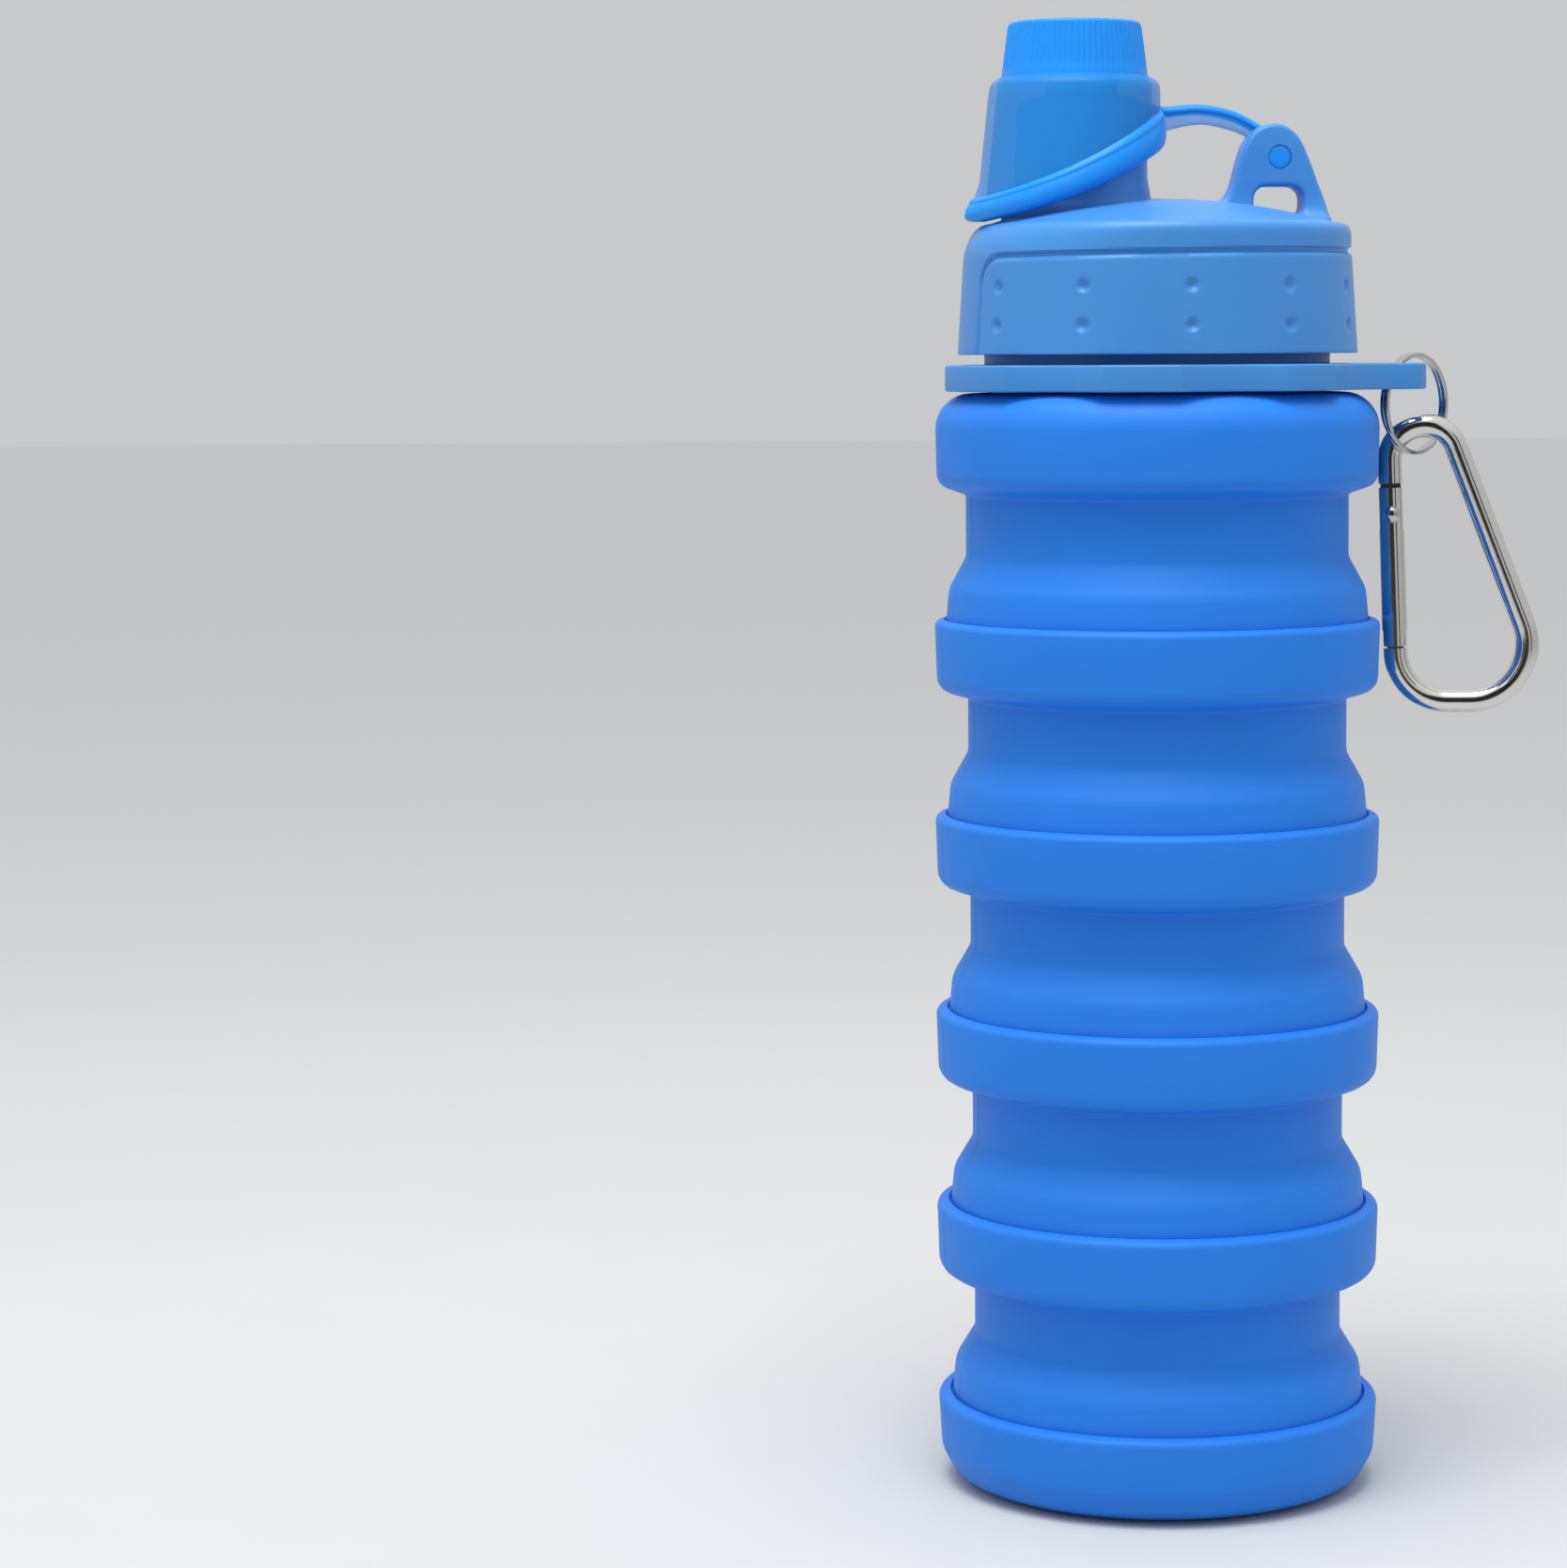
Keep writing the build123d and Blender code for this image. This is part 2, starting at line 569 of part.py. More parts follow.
with BuildPart() as carabiner_frame:
    with BuildLine(hook_plane) as hook_line:
        FilletPolyline(
            (back_line(GATE_PIVOT_Z + FRAME_RISE), GATE_PIVOT_Z + FRAME_RISE),
            (back_line(apex_z), apex_z),
            (spine_line(HEEL_Z), HEEL_Z),
            (back_line(TOE_Z), TOE_Z),
            (back_line(NOSE_Z), NOSE_Z),
            radius=[bow_radius, HEEL_BEND, TOE_BEND],
        )
    with BuildSketch(frame_plane):
        Circle(WIRE_RADIUS)
    sweep(path=hook_line.line)
    with BuildSketch(frame_plane):
        Rectangle(TONGUE_THICK, TONGUE_WIDTH)
    extrude(amount=FRAME_RISE)
    # the tongue's end is round about the pivot, so the plunger stays clear of it as the gate opens
    with BuildSketch(pivot_plane.offset(-TONGUE_THICK / 2)):
        Circle(TONGUE_DROP)
    extrude(amount=TONGUE_THICK)
    with BuildSketch(nose_plane):
        Rectangle(TONGUE_THICK - 0.3, TONGUE_WIDTH - 0.6)
    extrude(amount=NOSE_TONGUE)
    with BuildSketch(pivot_plane.offset(-WIRE_RADIUS)):
        Circle(RIVET_RADIUS + RIVET_CLEARANCE)
    extrude(amount=2 * WIRE_RADIUS, mode=Mode.SUBTRACT)
save(carabiner_frame.part, "carabiner_frame")

with BuildPart() as carabiner_gate:
    with BuildSketch(gate_plane):
        Circle(GATE_RADIUS)
    extrude(amount=gate_length)
    with BuildSketch(gate_plane):
        Rectangle(FORK_WIDTH, 3 * GATE_RADIUS)
    extrude(amount=GATE_RISE + FORK_DEPTH, mode=Mode.SUBTRACT)
    with BuildSketch(gate_plane.offset(gate_length)):
        Rectangle(FORK_WIDTH, 3 * GATE_RADIUS)
    extrude(amount=-NOSE_TONGUE - PART_GAP, mode=Mode.SUBTRACT)
    with BuildSketch(gate_plane.offset(GATE_RISE + FORK_DEPTH)):
        Circle(GATE_BORE)
    extrude(amount=gate_length - GATE_RISE - FORK_DEPTH - NOSE_TONGUE - 2, mode=Mode.SUBTRACT)
    with BuildSketch(pivot_plane.offset(-GATE_RADIUS - 1)):
        Circle(RIVET_RADIUS)
    extrude(amount=2 * GATE_RADIUS + 2, mode=Mode.SUBTRACT)
save(carabiner_gate.part, "carabiner_gate")

with BuildPart() as gate_rivet:
    with BuildSketch(pivot_plane.offset(-GATE_RADIUS)):
        Circle(RIVET_RADIUS)
    extrude(amount=2 * GATE_RADIUS)
    for end in (-1, 1):
        with BuildSketch(pivot_plane.offset(end * GATE_RADIUS)):
            Circle(RIVET_HEAD)
        extrude(amount=end * 0.45)
save(gate_rivet.part, "gate_rivet")

with BuildPart() as gate_plunger:
    with BuildSketch(gate_plane.offset(GATE_RISE + FORK_DEPTH + 0.05)):
        Circle(GATE_BORE - 0.05)
    extrude(amount=PLUNGER_LENGTH)
    with BuildSketch(gate_plane.offset(GATE_RISE + TONGUE_DROP + 0.05)):
        Circle(PLUNGER_TIP)
    extrude(amount=FORK_DEPTH - TONGUE_DROP)
save(gate_plunger.part, "gate_plunger")

spring_start = GATE_RISE + FORK_DEPTH + PLUNGER_LENGTH + 0.3
spring_length = gate_length - NOSE_TONGUE - 2.2 - spring_start
spring_plane = gate_plane.offset(spring_start)
with BuildPart() as gate_spring:
    with BuildLine() as coil:
        Helix(
            spring_length / SPRING_TURNS,
            spring_length,
            SPRING_RADIUS,
            center=spring_plane.origin,
            direction=spring_plane.z_dir,
        )
    with BuildSketch(Plane(origin=coil.line @ 0, z_dir=coil.line % 0)):
        Circle(SPRING_WIRE)
    sweep(path=coil.line, is_frenet=True)
save(gate_spring.part, "gate_spring")
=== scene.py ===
import bpy
import bmesh
from math import atan2, cos, degrees, exp, hypot, pi, radians, sin, sqrt, tan
from mathutils import Matrix, Vector


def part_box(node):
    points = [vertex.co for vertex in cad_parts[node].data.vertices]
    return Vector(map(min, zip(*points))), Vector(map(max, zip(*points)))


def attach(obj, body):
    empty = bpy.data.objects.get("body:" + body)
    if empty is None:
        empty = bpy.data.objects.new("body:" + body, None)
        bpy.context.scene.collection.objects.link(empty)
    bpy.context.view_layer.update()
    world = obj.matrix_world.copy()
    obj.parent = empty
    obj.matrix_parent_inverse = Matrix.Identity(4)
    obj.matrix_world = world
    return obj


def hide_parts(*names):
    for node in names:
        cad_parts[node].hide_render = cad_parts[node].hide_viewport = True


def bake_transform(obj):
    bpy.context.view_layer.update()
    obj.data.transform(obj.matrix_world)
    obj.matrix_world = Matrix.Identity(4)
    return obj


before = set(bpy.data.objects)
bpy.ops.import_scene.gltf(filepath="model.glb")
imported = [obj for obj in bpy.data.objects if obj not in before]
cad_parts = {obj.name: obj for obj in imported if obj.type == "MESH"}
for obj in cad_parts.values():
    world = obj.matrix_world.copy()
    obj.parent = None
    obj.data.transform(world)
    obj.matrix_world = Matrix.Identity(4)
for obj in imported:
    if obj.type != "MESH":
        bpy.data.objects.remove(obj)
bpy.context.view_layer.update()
MM = 0.001

# All shapes below are given in millimetres in the row frame: +Z up the bottle, spout at -X, loop at +X.

# ---------------------------------------------------------------- materials


def material(name, color, roughness, variation=0.06, grain=900.0, bump=0.02, wave=0.0, **sockets):
    """Moulded or metal finish: a colour that wanders a little, uneven gloss, and a fine surface grain."""
    mat = bpy.data.materials.new(name)
    mat.use_nodes = True
    nodes, links = mat.node_tree.nodes, mat.node_tree.links
    bsdf = nodes["Principled BSDF"]
    coords = nodes.new("ShaderNodeTexCoord")
    patches = nodes.new("ShaderNodeTexNoise")
    patches.inputs["Scale"].default_value = 45.0
    patches.inputs["Detail"].default_value = 4.0
    links.new(coords.outputs["Object"], patches.inputs["Vector"])
    ramp = nodes.new("ShaderNodeValToRGB")
    ramp.color_ramp.elements[0].position = 0.3
    ramp.color_ramp.elements[1].position = 0.7
    ramp.color_ramp.elements[0].color = (*(c * (1 - variation) for c in color), 1)
    ramp.color_ramp.elements[1].color = (*(min(c * (1 + variation), 1) for c in color), 1)
    links.new(patches.outputs["Fac"], ramp.inputs["Fac"])
    links.new(ramp.outputs["Color"], bsdf.inputs["Base Color"])
    fine = nodes.new("ShaderNodeTexNoise")
    fine.inputs["Scale"].default_value = grain
    fine.inputs["Detail"].default_value = 5.0
    links.new(coords.outputs["Object"], fine.inputs["Vector"])
    gloss = nodes.new("ShaderNodeMapRange")
    gloss.inputs["To Min"].default_value = roughness * 0.85
    gloss.inputs["To Max"].default_value = min(roughness * 1.15, 1.0)
    links.new(patches.outputs["Fac"], gloss.inputs["Value"])
    links.new(gloss.outputs["Result"], bsdf.inputs["Roughness"])
    height = nodes.new("ShaderNodeBump")
    height.inputs["Strength"].default_value = bump
    height.inputs["Distance"].default_value = 0.0002
    links.new(fine.outputs["Fac"], height.inputs["Height"])
    last = height
    if wave:
        slow = nodes.new("ShaderNodeTexNoise")
        slow.inputs["Scale"].default_value = 60.0
        slow.inputs["Detail"].default_value = 1.0
        links.new(coords.outputs["Object"], slow.inputs["Vector"])
        swell = nodes.new("ShaderNodeBump")
        swell.inputs["Strength"].default_value = wave
        swell.inputs["Distance"].default_value = 0.002
        links.new(slow.outputs["Fac"], swell.inputs["Height"])
        links.new(height.outputs["Normal"], swell.inputs["Normal"])
        last = swell
    links.new(last.outputs["Normal"], bsdf.inputs["Normal"])
    for socket, value in sockets.items():
        bsdf.inputs[socket.replace("_", " ")].default_value = value
    return mat


def brushed(name, color, roughness, scale, stretch):
    """Polished metal with faint drawing marks along one direction."""
    mat = material(name, color, roughness, variation=0.04, grain=1500.0, bump=0.015, Metallic=1.0)
    nodes, links = mat.node_tree.nodes, mat.node_tree.links
    coords = nodes["Texture Coordinate"]
    mapping = nodes.new("ShaderNodeMapping")
    mapping.inputs["Scale"].default_value = stretch
    marks = nodes.new("ShaderNodeTexNoise")
    marks.inputs["Scale"].default_value = scale
    marks.inputs["Detail"].default_value = 3.0
    links.new(coords.outputs["Object"], mapping.inputs["Vector"])
    links.new(mapping.outputs["Vector"], marks.inputs["Vector"])
    streaks = nodes.new("ShaderNodeBump")
    streaks.inputs["Strength"].default_value = 0.05
    streaks.inputs["Distance"].default_value = 0.0001
    links.new(marks.outputs["Fac"], streaks.inputs["Height"])
    links.new(nodes["Bump"].outputs["Normal"], streaks.inputs["Normal"])
    links.new(streaks.outputs["Normal"], nodes["Principled BSDF"].inputs["Normal"])
    return mat


SILICONE = material(
    "silicone_satin_blue", (0.017, 0.205, 0.75), 0.52, variation=0.03, grain=1400.0, bump=0.1, wave=0.05,
    IOR=1.41, Specular_IOR_Level=0.32, Subsurface_Weight=0.1, Subsurface_Scale=0.002,
)
SILICONE.node_tree.nodes["Principled BSDF"].inputs["Subsurface Radius"].default_value = (0.3, 0.7, 1.4)
PLASTIC = material(
    "lid_plastic_blue", (0.05, 0.25, 0.63), 0.4, variation=0.03, grain=1100.0, bump=0.06, wave=0.03,
    IOR=1.49, Specular_IOR_Level=0.4, Subsurface_Weight=0.1, Subsurface_Scale=0.002,
)
CAP_SOLID = material(
    "cap_blue_dense", (0.006, 0.27, 0.82), 0.42, variation=0.03, grain=1200.0, bump=0.05, wave=0.03,
    IOR=1.45, Specular_IOR_Level=0.35, Subsurface_Weight=0.2, Subsurface_Scale=0.003,
)
CAP_CLEAR = material(
    "cap_blue_translucent", (0.02, 0.30, 0.80), 0.4, variation=0.05, grain=900.0, bump=0.05, wave=0.04,
    IOR=1.45, Specular_IOR_Level=0.3, Alpha=0.58,
)
STRAP_CLEAR = material(
    "strap_blue_thin", (0.05, 0.40, 0.86), 0.4, variation=0.04, grain=900.0, bump=0.05, wave=0.03,
    IOR=1.45, Specular_IOR_Level=0.35, Alpha=0.5,
)
RUBBER = material(
    "gasket_white_silicone", (0.74, 0.77, 0.8), 0.5, variation=0.03, grain=1200.0, bump=0.08, IOR=1.41,
)
STEEL = brushed("nickel_plated_steel", (0.52, 0.51, 0.5), 0.16, 900.0, (1.0, 1.0, 1.0))
ALUMINIUM = brushed("polished_aluminium", (0.66, 0.64, 0.61), 0.13, 700.0, (1.0, 1.0, 0.08))

# ---------------------------------------------------------------- mesh tools


def rounded(corners, steps=6, closed=True):
    """Points of an outline from (x, y, fillet radius) corners."""
    points = []
    count = len(corners)
    for i, (x, y, radius) in enumerate(corners):
        if not radius or (not closed and i in (0, count - 1)):
            points.append((x, y))
            continue
        corner = Vector((x, y))
        back = Vector(corners[i - 1][:2]) - corner
        ahead = Vector(corners[(i + 1) % count][:2]) - corner
        half = back.angle(ahead) / 2
        before_share = 0.49 if corners[i - 1][2] else 0.95
        after_share = 0.49 if corners[(i + 1) % count][2] else 0.95
        cut = min(radius / tan(half), before_share * back.length, after_share * ahead.length)
        radius = cut * tan(half)
        middle = corner + (back.normalized() + ahead.normalized()).normalized() * (radius / sin(half))
        first = corner + back.normalized() * cut - middle
        last = corner + ahead.normalized() * cut - middle
        angle = atan2(first.y, first.x)
        turn = (atan2(last.y, last.x) - angle + pi) % (2 * pi) - pi
        for step in range(steps + 1):
            a = angle + turn * step / steps
            points.append((middle.x + radius * cos(a), middle.y + radius * sin(a)))
    return points


def build(name, verts, faces, mat, crease=38.0):
    """An object from millimetre vertices, with clean normals and smooth shading up to the crease angle."""
    mesh = bpy.data.meshes.new(name)
    mesh.from_pydata([(x * MM, y * MM, z * MM) for x, y, z in verts], [], faces)
    return finish_mesh(name, mesh, mat, crease)


def finish_mesh(name, mesh, mat, crease=38.0):
    """Cleans a mesh, gives it its material or materials, and puts it in the scene."""
    work = bmesh.new()
    work.from_mesh(mesh)
    bmesh.ops.remove_doubles(work, verts=work.verts, dist=2e-7)
    bmesh.ops.dissolve_degenerate(work, edges=work.edges, dist=1e-7)
    bmesh.ops.recalc_face_normals(work, faces=work.faces)
    work.to_mesh(mesh)
    work.free()
    mesh.name = name
    mesh.materials.clear()
    for one in (mat if isinstance(mat, (list, tuple)) else [mat]):
        mesh.materials.append(one)
    mesh.shade_smooth()
    mesh.set_sharp_from_angle(angle=radians(crease))
    obj = bpy.data.objects.new(name, mesh)
    bpy.context.scene.collection.objects.link(obj)
    return obj


def lathe_data(outline, angles, shape=None, centre=(0.0, 0.0), closed=True):
    """Vertices and faces of an outline of (radius, z) turned about a vertical axis."""
    verts, rows = [], []
    for radius, z in outline:
        if radius < 1e-6:
            rows.append([len(verts)] * len(angles))
            verts.append((centre[0], centre[1], z))
            continue
        rows.append(list(range(len(verts), len(verts) + len(angles))))
        for angle in angles:
            r, height = shape(angle, radius, z) if shape else (radius, z)
            verts.append((centre[0] + r * cos(angle), centre[1] + r * sin(angle), height))
    faces = []
    last = len(rows) if closed else len(rows) - 1
    for i in range(last):
        low, high = rows[i], rows[(i + 1) % len(rows)]
        for j in range(len(angles)):
            k = (j + 1) % len(angles)
            quad = []
            for index in (low[j], low[k], high[k], high[j]):
                if index not in quad:
                    quad.append(index)
            if len(quad) > 2:
                faces.append(quad)
    return verts, faces


def even(count):
    """Angles evenly spaced round a turn."""
    return [2 * pi * i / count for i in range(count)]


def lathe(name, outline, mat, angles=None, shape=None, centre=(0.0, 0.0), crease=38.0):
    verts, faces = lathe_data(outline, angles or even(180), shape, centre)
    return build(name, verts, faces, mat, crease)


def skin(count, sides):
    """Faces of a tube from count rings of vertices, with a face over each end."""
    faces = []
    for i in range(count - 1):
        for j in range(sides):
            k = (j + 1) % sides
            faces.append((i * sides + j, i * sides + k, (i + 1) * sides + k, (i + 1) * sides + j))
    faces.append(tuple(range(sides)))
    faces.append(tuple(range((count - 1) * sides, count * sides)))
    return faces


def tube_data(path, section):
    """Vertices and faces of a section, a list of (across, up), carried along an open path."""
    verts = []
    for i, point in enumerate(path):
        along = (path[min(i + 1, len(path) - 1)] - path[max(i - 1, 0)]).normalized()
        across = along.cross(Vector((0, 0, 1))).normalized()
        rise = across.cross(along).normalized()
        for u, v in section:
            p = point + across * u + rise * v
            verts.append((p.x, p.y, p.z))
    return verts, skin(len(path), len(section))


def join(*parts):
    """One (verts, faces) from several."""
    verts, faces = [], []
    for some_verts, some_faces in parts:
        base = len(verts)
        verts += list(some_verts)
        faces += [tuple(base + i for i in face) for face in some_faces]
    return verts, faces


def plate_data(outlines, thickness, edge, place, steps=3):
    """A flat plate with rounded edges, put in space by place. Holes come after the outside outline."""
    curve = bpy.data.curves.new("plate", "CURVE")
    curve.dimensions = "2D"
    curve.fill_mode = "BOTH"
    curve.extrude = (thickness / 2 - edge) * MM
    curve.bevel_depth = edge * MM
    curve.bevel_resolution = steps
    curve.offset = -edge * MM
    for outline in outlines:
        spline = curve.splines.new("POLY")
        spline.points.add(len(outline) - 1)
        for point, (x, y) in zip(spline.points, outline):
            point.co = (x * MM, y * MM, 0, 1)
        spline.use_cyclic_u = True
    obj = bpy.data.objects.new("plate", curve)
    bpy.context.scene.collection.objects.link(obj)
    bpy.context.view_layer.update()
    graph = bpy.context.evaluated_depsgraph_get()
    mesh = bpy.data.meshes.new_from_object(obj.evaluated_get(graph))
    verts = [tuple(place @ (v.co / MM)) for v in mesh.vertices]
    faces = [tuple(p.vertices) for p in mesh.polygons]
    bpy.data.objects.remove(obj)
    bpy.data.curves.remove(curve)
    bpy.data.meshes.remove(mesh)
    return verts, faces


def cut(obj, cutter):
    """Takes the cutter away from obj and removes it."""
    modifier = obj.modifiers.new("cut", "BOOLEAN")
    modifier.operation = "DIFFERENCE"
    modifier.solver = "EXACT"
    modifier.object = cutter
    bpy.context.view_layer.update()
    mesh = bpy.data.meshes.new_from_object(obj.evaluated_get(bpy.context.evaluated_depsgraph_get()))
    obj.modifiers.clear()
    materials = list(obj.data.materials)
    name = obj.name
    bpy.data.objects.remove(cutter)
    bpy.data.objects.remove(obj)
    return finish_mesh(name, mesh, materials)


def spline(points, steps):
    """A smooth line through the points."""
    out = []
    for i in range(len(points) - 1):
        p0 = Vector(points[max(i - 1, 0)])
        p1, p2 = Vector(points[i]), Vector(points[i + 1])
        p3 = Vector(points[min(i + 2, len(points) - 1)])
        for s in range(steps):
            t = s / steps
            out.append(
                0.5 * ((2 * p1) + (p2 - p0) * t + (2 * p0 - 5 * p1 + 4 * p2 - p3) * t * t
                       + (3 * p1 - p0 - 3 * p2 + p3) * t ** 3)
            )
    out.append(Vector(points[-1]))
    return out


def put(obj, body, slot, *nodes):
    """Rides obj on a body and hides the CAD nodes that it replaces. The slot is not used."""
    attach(obj, body)
    if nodes:
        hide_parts(*nodes)
    return obj


def smooth(t):
    """Smoothstep, held at 0 and 1 outside its range."""
    t = min(max(t, 0.0), 1.0)
    return t * t * (3 - 2 * t)


# ---------------------------------------------------------------- silicone body

RING_PITCH = 30.9
BASE_TOP = 13.9
RING_COUNT = 4
RING_EDGE = 35.13           # ring radius at its top edge
NECK_RADIUS = 30.15         # the shoulder's neck
WEB_HEIGHT = 10.0           # from a ring's top level to the neck's foot above it
PARTING = radians(-174.0)   # mould line, and another opposite


def ring_top(index):
    return BASE_TOP + (RING_COUNT + 1 - index) * RING_PITCH


def neck_radius(index):
    return NECK_RADIUS - index * 0.25


def web_radius(index):
    return 33.2 - (index - 1) * 0.15


PARTING_ANGLES = [
    (PARTING + half * pi + offset) % (2 * pi) for half in (0, 1) for offset in (-0.008, 0, 0.008)
]
SILICONE_ANGLES = sorted(even(200) + PARTING_ANGLES)


def parting(angle, radius, z):
    """A faint raised mould line on the outside."""
    off = min(abs((angle - PARTING - half * pi + pi) % (2 * pi) - pi) for half in (0, 1))
    return (radius + (0.09 if off < 0.004 and radius > 29.3 else 0.0), z)


def web_outline(index, neck, top):
    """Outside then inside of the fold web from the neck's foot down to the ring below."""
    web = web_radius(index)
    crease = top + WEB_HEIGHT
    outside = [
        (neck, crease, 2.6),
        (web - 0.35, top + 5.0, 4.6),
        (web - 0.02, top + 1.5, 0),
        (web + 0.04, top + 0.6, 0),
        (web + 0.04, top - 0.3, 0),
    ]
    inside = [
        (web - 0.9, top - 0.3, 0),
        (web - 1.25, top + 1.2, 0.6),
        (web - 1.45, top + 4.8, 2.4),
        (neck - 1.4, crease - 0.1, 0.6),
    ]
    return outside, inside


for index in range(1, RING_COUNT + 1):
    top = ring_top(index)
    below = ring_top(index + 1)
    neck = neck_radius(index)
    web = web_radius(index)
    outside, inside = web_outline(index + 1, neck, below)
    outline = rounded(
        [
            (web - 0.35, top - 0.4, 0),
            (web + 0.2, top - 0.4, 0.1),
            (web + 0.48, top + 0.24, 0.25),
            (RING_EDGE, top - 0.22, 1.7),
            (34.78, top - 10.8, 2.4),
            (neck, top - 12.2, 0.7),
        ]
        + outside
        + inside
        + [
            (neck - 1.7, top - 11.0, 0.8),
            (web + 0.1, top - 9.4, 1.6),
            (web + 0.1, top - 1.0, 0.4),
        ]
    )
    section = lathe(f"silicone_section_{index}", outline, SILICONE, SILICONE_ANGLES, parting)
    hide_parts(f"ring_section_{index}", f"fold_web_{index + 1}")
    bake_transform(section)

outside, inside = web_outline(1, NECK_RADIUS, ring_top(1))
shoulder_outline = rounded(
    [
        (26.1, 173.25, 0),
        (35.05, 173.3, 5.6),
        (34.72, 158.9, 2.5),
        (NECK_RADIUS, 157.3, 0.7),
    ]
    + outside
    + inside
    + [
        (28.5, 158.6, 0.8),
        (32.7, 160.4, 1.8),
        (32.6, 169.6, 2.4),
        (30.9, 170.6, 0.4),
        (26.1, 170.8, 0.3),
    ],
    steps=8,
)
shoulder = lathe("silicone_shoulder", shoulder_outline, SILICONE, SILICONE_ANGLES, parting)
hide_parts("shoulder_section", "fold_web_1")
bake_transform(shoulder)

base_web = web_radius(RING_COUNT + 1)
base_outline = rounded(
    [
        (0, 0.45, 0),
        (23.0, 0.45, 0.5),
        (24.4, 0.0, 0.6),
        (28.6, 0.0, 2.0),
        (32.5, 1.5, 3.4),
        (34.5, 5.2, 3.6),
        (35.0, BASE_TOP - 0.22, 1.7),
        (base_web + 0.48, BASE_TOP + 0.24, 0.25),
        (base_web + 0.2, BASE_TOP - 0.4, 0.1),
        (base_web - 0.35, BASE_TOP - 0.4, 0),
        (base_web + 0.1, BASE_TOP - 1.0, 0.4),
        (base_web, 7.6, 1.5),
        (27.0, 2.4, 2.5),
        (0, 2.4, 0),
    ],
    steps=7,
)
put(
    lathe("silicone_base", base_outline, SILICONE, SILICONE_ANGLES, parting),
    "base", "silicone", "base_cup",
)

# ---------------------------------------------------------------- neck collar

THREAD_LEAD = 6.0
THREAD_STARTS = 2
THREAD_PITCH = THREAD_LEAD / THREAD_STARTS


def thread(angle, z, first, last, phase=0.0):
    """Height from 0 to 1 of a helical ridge that fades out at both ends."""
    turn = ((z - first) - THREAD_LEAD * angle / (2 * pi)) / THREAD_PITCH + phase
    off = abs((turn + 0.5) % 1.0 - 0.5) * THREAD_PITCH
    ridge = smooth((0.95 - off) / 0.55)
    return ridge * smooth((z - first) / 0.8) * smooth((last - z) / 0.8)


def neck_shape(angle, radius, z):
    """Puts the thread on the outside of the neck."""
    if radius > 24.0 and 181.9 < z < 191.6:
        return radius + 1.35 * thread(angle, z, 182.0, 191.5), z
    return radius, z


thread_rows = [(24.8, 181.8 + 0.22 * i) for i in range(46)]
neck_outline = (
    rounded(
        [
            (22.0, 167.3, 0.3),
            (30.6, 167.3, 0.5),
            (30.6, 170.7, 0.5),
            (25.9, 170.75, 0),
            (25.9, 173.7, 0),
            (27.0, 173.9, 0),
            (27.0, 177.4, 0),
            (27.15, 177.9, 0.2),
            (27.15, 181.1, 0.3),
            (25.0, 181.3, 0.3),
        ],
        closed=False,
    )
    + thread_rows
    + rounded([(24.8, 192.0, 0), (24.8, 193.2, 0.5), (22.0, 193.2, 0.4), (22.0, 191.0, 0)], closed=False)
)

TAB_ANGLE = radians(-10.0)
TAB_REACH = 37.1            # axis to the tab's hole
TAB_TIP = 5.1
TAB_HOLE = 2.5
FLANGE_RADIUS = 34.1
SCALLOPS = (69.0, 118.7, 180.0, 241.3, 291.0)       # degrees from the tab
SCALLOP_RADIUS = 36.6
SCALLOP_REACH = 68.6        # axis to a scallop's centre
tab_turn = Matrix.Rotation(TAB_ANGLE, 4, "Z")


def flange_edge(angle):
    """Radius of the flange away from the tab, with its scallops."""
    radius = FLANGE_RADIUS
    for scallop in SCALLOPS:
        off = angle - radians(scallop)
        inside_root = SCALLOP_RADIUS**2 - (SCALLOP_REACH * sin(off)) ** 2
        if inside_root > 0 and cos(off) > 0:
            radius = min(radius, SCALLOP_REACH * cos(off) - sqrt(inside_root))
    return radius


def arc_through(a, b, c, steps):
    """Points of the arc from a through b to c, without the first."""
    a, b, c = Vector(a), Vector(b), Vector(c)
    d = 2 * (a.x * (b.y - c.y) + b.x * (c.y - a.y) + c.x * (a.y - b.y))
    aa, bb, cc = a.length_squared, b.length_squared, c.length_squared
    middle = Vector((
        (aa * (b.y - c.y) + bb * (c.y - a.y) + cc * (a.y - b.y)) / d,
        (aa * (c.x - b.x) + bb * (a.x - c.x) + cc * (b.x - a.x)) / d,
    ))
    radius = (a - middle).length
    start = atan2(a.y - middle.y, a.x - middle.x)
    through = (atan2(b.y - middle.y, b.x - middle.x) - start) % (2 * pi)
    turn = (atan2(c.y - middle.y, c.x - middle.x) - start) % (2 * pi)
    if through > turn:
        turn -= 2 * pi
    return [
        (middle.x + radius * cos(start + turn * i / steps), middle.y + radius * sin(start + turn * i / steps))
        for i in range(1, steps + 1)
    ]


spread = radians(37.3)
root = Vector((FLANGE_RADIUS * cos(spread), FLANGE_RADIUS * sin(spread)))
side = Vector((TAB_REACH, TAB_TIP))
along = (side - root).normalized()
waist = (root + side) / 2 - Vector((-along.y, along.x)) * 2.0
flange_points = []
for step in range(570):
    angle = spread + (2 * pi - 2 * spread) * step / 569
    radius = flange_edge(angle)
    flange_points.append((radius * cos(angle), radius * sin(angle)))
flange_points += arc_through((root.x, -root.y), (waist.x, -waist.y), (side.x, -side.y), 16)
flange_points += arc_through((side.x, -side.y), (TAB_REACH + TAB_TIP, 0), (side.x, side.y), 24)
flange_points += arc_through(side, waist, root, 16)[:-1]
tab_hole = [(TAB_REACH + TAB_HOLE * cos(a), TAB_HOLE * sin(a)) for a in even(32)]
